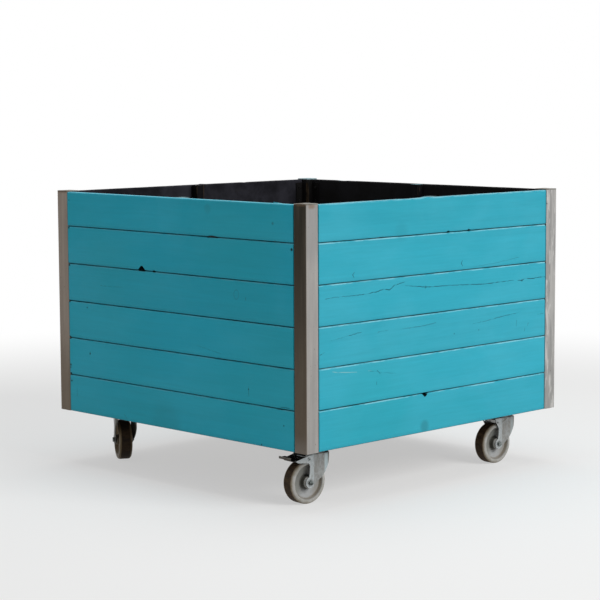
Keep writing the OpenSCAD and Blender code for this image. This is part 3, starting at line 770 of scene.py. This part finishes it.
def plank(side, row, material):
    """One board with rounded arrises, uneven edges, chips and a slight cup."""
    name = f"{SIDES[side]}_board_{row}"
    low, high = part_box(name)
    length = max(high.x - low.x, high.y - low.y)
    tall = high.z - low.z
    draw = random.Random(name)
    seed = Vector((draw.uniform(0, 50), draw.uniform(0, 50), draw.uniform(0, 50)))
    sunk = draw.uniform(0, 0.8) * MM
    cup = draw.uniform(0.1, 0.5) * MM

    bm = bmesh.new()
    bmesh.ops.create_cube(bm, size=1)
    bmesh.ops.scale(bm, vec=(length, board_t, tall), verts=bm.verts)
    bmesh.ops.translate(bm, vec=(0, board_t / 2 - half, low.z + tall / 2), verts=bm.verts)
    for axis, cuts in ((0, LENGTH_CUTS), (2, HEIGHT_CUTS)):
        edges = [e for e in bm.edges if run_of(e, axis) > LONG_EDGE]
        bmesh.ops.subdivide_edges(bm, edges=edges, cuts=cuts, use_grid_fill=True)
    arrises = [e for e in bm.edges if e.calc_face_angle(0) > 1 and run_of(e, 0) > MM]
    round_off(bm, arrises, BOARD_EDGE, 4)
    ends = [e for e in bm.edges if e.calc_face_angle(0) > 1]
    round_off(bm, ends, END_EDGE, 2)

    for v in bm.verts:
        along, deep, up = v.co.x, v.co.y + half, v.co.z - low.z
        for edge, gap, sign in (("low", up, 1), ("high", tall - up, -1)):
            if deep > board_t / 2 and (row, edge) not in RIM_UNEVEN:
                continue  # Inside, neighbouring boards meet, so that no light shows between them
            near = max(0.0, 1 - gap / UNEVEN_REACH)
            slow = noise.noise(Vector((along * 9, 3 * sign, 0)) + seed)
            quick = noise.noise(Vector((along * 60, deep * 30, 7 * sign)) + seed)
            uneven = slow + 0.5 * quick
            shift = max(0.0, uneven + 0.2) * RIM_UNEVEN.get((row, edge), JOINT_UNEVEN) * MM * near * near
            for middle, width, depth in NOTCHES.get((SIDES[side], row, edge), []):
                inside = max(0.0, 1 - abs(along - middle * MM) / (width / 2 * MM))
                shift += depth * MM * min(1.0, inside * 1.25) * max(0.0, 1 - gap / CHIP_REACH)
            v.co.z += sign * shift
        outer = max(0.0, 1 - deep / board_t)
        crown = 1 - (2 * up / tall - 1) ** 2
        ripple = 0.5 + 0.5 * noise.noise(Vector((along * 5, 0, up * 22)) + seed)
        v.co.y += outer * (sunk + cup * (1 - crown) + ripple * 0.3 * MM)
    bmesh.ops.rotate(bm, cent=(0, 0, 0), matrix=Matrix.Rotation(side * math.pi / 2, 3, "Z"), verts=bm.verts)
    piece(name + "_plank", bm, material, "box", "painted_board", name)


def splinter_paint():
    """Bleached turquoise on the lifted sliver, with bare wood along its grain."""
    f = Finish("splinter_paint")
    grain = f.noise(160, (0.1, 1, 1), 4, 0.6)
    colour = f.blend(f.fade(grain, 0.4, 0.62), tint("4bb4c6"), tint("86cbd5"))
    colour = f.blend(f.fade(grain, 0.66, 0.74) * 0.6, colour, tint("a99a7c"))
    return f.put(colour, 0.6 + (grain - 0.5) * 0.2, grain, 0.4 * MM, gloss=0.12)


def splinter(material):
    """Sliver of wood that has lifted from the inner top edge of the front wall."""
    length, wide, thick = 46 * MM, 6 * MM, 2.4 * MM
    bm = bmesh.new()
    bmesh.ops.create_cube(bm, size=1)
    bmesh.ops.scale(bm, vec=(length, wide, thick), verts=bm.verts)
    edges = [e for e in bm.edges if run_of(e, 0) > LONG_EDGE]
    bmesh.ops.subdivide_edges(bm, edges=edges, cuts=12)
    lift = 4.2 * MM
    for v in bm.verts:
        free = max(0.0, 0.5 - v.co.x / length)
        v.co.y *= 1 - 0.75 * free
        v.co.z = v.co.z * (1 - 0.4 * free) + lift * free
    bmesh.ops.translate(bm, vec=(426 * MM, board_t - half - 4.5 * MM, top - 2.2 * MM), verts=bm.verts)
    piece("lifted_splinter", bm, material, "box", "painted_board")


# Half of a wheel's section, from its bore to its tread: radius, place along the axle and rounding, in mm
WHEEL_SECTION = [(10, 22.5, 0), (13, 22.5, 0.5), (14, 23.5, 0.5), (16, 23.5, 1), (18.7, 5, 3), (46, 10, 3),
                 (51, 21, 1.5), (62.5, 21, 8)]
ARC_STEPS = 5
SPIN_STEPS = 96


def rounded(outline, radii):
    """Points of an outline whose corners are arcs of the given radii."""
    points = []
    count = len(outline)
    for i, (corner, radius) in enumerate(zip(outline, radii)):
        here = Vector(corner)
        before = (Vector(outline[i - 1]) - here).normalized()
        after = (Vector(outline[(i + 1) % count]) - here).normalized()
        if radius == 0:
            points.append(here)
            continue
        opening = before.angle(after)
        reach = radius / math.tan(opening / 2)
        middle = here + (before + after).normalized() * (radius / math.sin(opening / 2))
        start = here + before * reach - middle
        end = here + after * reach - middle
        for k in range(ARC_STEPS + 1):
            points.append(middle + start.slerp(end, k / ARC_STEPS) * radius)
    return points


def wheel(corner):
    """Moulded wheel spun from its section: tread with round shoulders, side rings, dishes and hub."""
    near_side = [(r, x) for r, x, _ in WHEEL_SECTION]
    far_side = [(r, -x) for r, x, _ in reversed(WHEEL_SECTION)]
    radii = [radius for _, _, radius in WHEEL_SECTION]
    outline, radii = near_side + far_side, radii + radii[::-1]
    bm = bmesh.new()
    ring = [bm.verts.new((p.y * MM, 0, p.x * MM)) for p in rounded(outline, radii)]
    section = [bm.edges.new((ring[i - 1], ring[i])) for i in range(len(ring))]
    bmesh.ops.spin(bm, geom=ring + section, cent=(0, 0, 0), axis=(1, 0, 0), angle=2 * math.pi,
                   steps=SPIN_STEPS, use_merge=True)
    bmesh.ops.remove_doubles(bm, verts=bm.verts, dist=MERGE)
    bmesh.ops.recalc_face_normals(bm, faces=bm.faces)
    centre, heading = axle_frame(corner)
    place = Matrix.Translation(centre) @ Matrix.Rotation(heading, 4, "Z")
    bmesh.ops.transform(bm, matrix=place, verts=bm.verts)
    piece(f"wheel_{corner}_moulding", bm, nylon(corner), "roller_" + corner, "nylon", "wheel_" + corner)


def paint_node(node, material):
    """Gives a CAD node that keeps its shape its finish."""
    obj = frame["nodes"][node]
    obj.data.materials.clear()
    obj.data.materials.append(material)


def dress(node, body, slot, material, edge):
    """Puts a copy with rounded edges in a CAD node's place."""
    piece(node + "_dressed", copy_of(node, edge), material, body, slot, node)


# ---------------------------------------------------------------- assembly
def make_box():
    for side in range(4):
        material = painted_boards(side)
        for row in ROWS:
            plank(side, row, material)
        if side == 0:
            splinter(splinter_paint())
    steel = post_steel()
    for corner in CORNERS:
        dress("post_" + corner, "box", "raw_steel", steel, 0.5 * MM)
    black = batten_paint()
    for name in SIDES:
        dress("batten_" + name, "box", "black_wood", black, 1.2 * MM)
    dress("base_frame", "box", "frame_steel", frame_paint(), 0.5 * MM)
    dress("floor_panel", "box", "plywood", plywood(), 0.8 * MM)
    paint_node("board_screws", dark_steel("painted_screws", "1c1b1b", "0a0a0a", 0.0))
    paint_node("caster_bolts", dark_steel("plated_fixings", "b3b0a6", "7d7a70"))


def make_casters():
    plate = zinc_plate()
    nuts = dark_steel("axle_steel", "8d9391", "3d4341")
    bearing = dark_steel("bearing_steel", "5c5f60", "2b2d2e")
    for corner in CORNERS:
        zinc = fork_zinc(corner)
        dress("plate_" + corner, "box", "zinc_steel", plate, 0.4 * MM)
        dress("fork_" + corner, "caster_" + corner, "zinc_steel", zinc, 0.7 * MM)
        dress("axle_" + corner, "caster_" + corner, "axle_steel", nuts, 0.5 * MM)
        paint_node("bearing_" + corner, bearing)
        wheel(corner)
        if corner in BRAKED:
            brake = "brake_" + corner
            dress("brake_lever_" + corner, brake, "zinc_steel", zinc, 0.5 * MM)
            dress("brake_pedal_" + corner, brake, "pedal_plastic", pedal_plastic(corner), 1 * MM)


# ---------------------------------------------------------------- studio
# The rays that see white surroundings, and how bright those are for all the other rays
SEEN_BY = ["Is Camera Ray", "Is Glossy Ray", "Is Transmission Ray"]
AMBIENT = 0.285
# Where, from the planter's middle, the floor starts and ends turning white
FLOOR_NEAR = 1.7
FLOOR_FAR = 3.6


def make_floor():
    """Pale floor that turns into the white surroundings away from the planter and keeps its shadow."""
    f = Finish("pale_floor")
    mottle = f.noise(0.6, (1, 1, 1), 3)
    f.put(tint("e8e8e7"), 0.85 + (mottle - 0.5) * 0.05, gloss=0)
    white = f.tree.nodes.new("ShaderNodeEmission")
    mix = f.tree.nodes.new("ShaderNodeMixShader")
    seen = f.either(*[f.add("LightPath", {}, {}, name) for name in SEEN_BY])
    away = f.fade(f.distance(f.x, f.y), FLOOR_NEAR, FLOOR_FAR) * 0.5 + 0.5
    f.tree.links.new((seen * away).socket, mix.inputs["Fac"])
    f.tree.links.new(f.shader.outputs[0], mix.inputs[1])
    f.tree.links.new(white.outputs[0], mix.inputs[2])
    f.tree.links.new(mix.outputs[0], f.tree.nodes["Material Output"].inputs["Surface"])
    bm = bmesh.new()
    bmesh.ops.create_grid(bm, x_segments=8, y_segments=8, size=30)
    mesh = bpy.data.meshes.new("floor")
    bm.to_mesh(mesh)
    bm.free()
    mesh.materials.append(f.material)
    floor = bpy.data.objects.new("floor", mesh)
    bpy.context.scene.collection.objects.link(floor)


def make_world():
    """Even white surroundings. The light that falls on the planter is weaker than what the camera sees."""
    world = bpy.data.worlds.new("studio")
    world.use_nodes = True
    bpy.context.scene.world = world
    tree = world.node_tree
    background = tree.nodes["Background"]
    background.inputs["Color"].default_value = (1, 1, 1, 1)
    rays = tree.nodes.new("ShaderNodeLightPath")
    seen = None
    for name in SEEN_BY:
        if seen is None:
            seen = rays.outputs[name]
            continue
        join = tree.nodes.new("ShaderNodeMath")
        join.operation = "MAXIMUM"
        tree.links.new(seen, join.inputs[0])
        tree.links.new(rays.outputs[name], join.inputs[1])
        seen = join.outputs[0]
    level = tree.nodes.new("ShaderNodeMapRange")
    level.inputs["To Min"].default_value = AMBIENT
    level.inputs["To Max"].default_value = 1.0
    tree.links.new(seen, level.inputs["Value"])
    tree.links.new(level.outputs[0], background.inputs["Strength"])


def softbox(name, place, aim, size, power):
    """Rectangular lamp at a place, aimed at a point. Its size is in metres and its power in watts."""
    lamp = bpy.data.lights.new(name, "AREA")
    lamp.shape = "RECTANGLE"
    lamp.size, lamp.size_y = size
    lamp.energy = power
    obj = bpy.data.objects.new(name, lamp)
    obj.location = place
    obj.rotation_euler = (Vector(aim) - Vector(place)).to_track_quat("-Z", "Y").to_euler()
    bpy.context.scene.collection.objects.link(obj)


def make_camera():
    """Camera at the photograph's place: it was solved from the corners of the box."""
    place = Vector((4.19437, -4.16471, 1.16275))
    yaw, pitch_down, roll = 135.3813, 6.3278, -0.2452
    camera = bpy.data.cameras.new("camera")
    camera.lens = 114.0
    camera.sensor_width = 36
    camera.shift_x = -0.00205
    camera.shift_y = 0.0014
    obj = bpy.data.objects.new("camera", camera)
    heading = Matrix.Rotation(math.radians(yaw - 90), 4, "Z")
    tilt = Matrix.Rotation(math.radians(90 - pitch_down), 4, "X")
    lean = Matrix.Rotation(math.radians(roll), 4, "Z")
    obj.matrix_world = Matrix.Translation(place) @ heading @ tilt @ lean
    bpy.context.scene.collection.objects.link(obj)
    bpy.context.scene.camera = obj


make_box()
make_casters()
make_floor()
make_world()
softbox("key", (6.5, 1.0, 4.2), (0, 0, 0.4), (4, 3), 330)
softbox("top", (-0.5, 0.5, 5.5), (0, 0, 0.4), (4, 4), 105)
make_camera()
bpy.context.scene.view_settings.view_transform = "Standard"
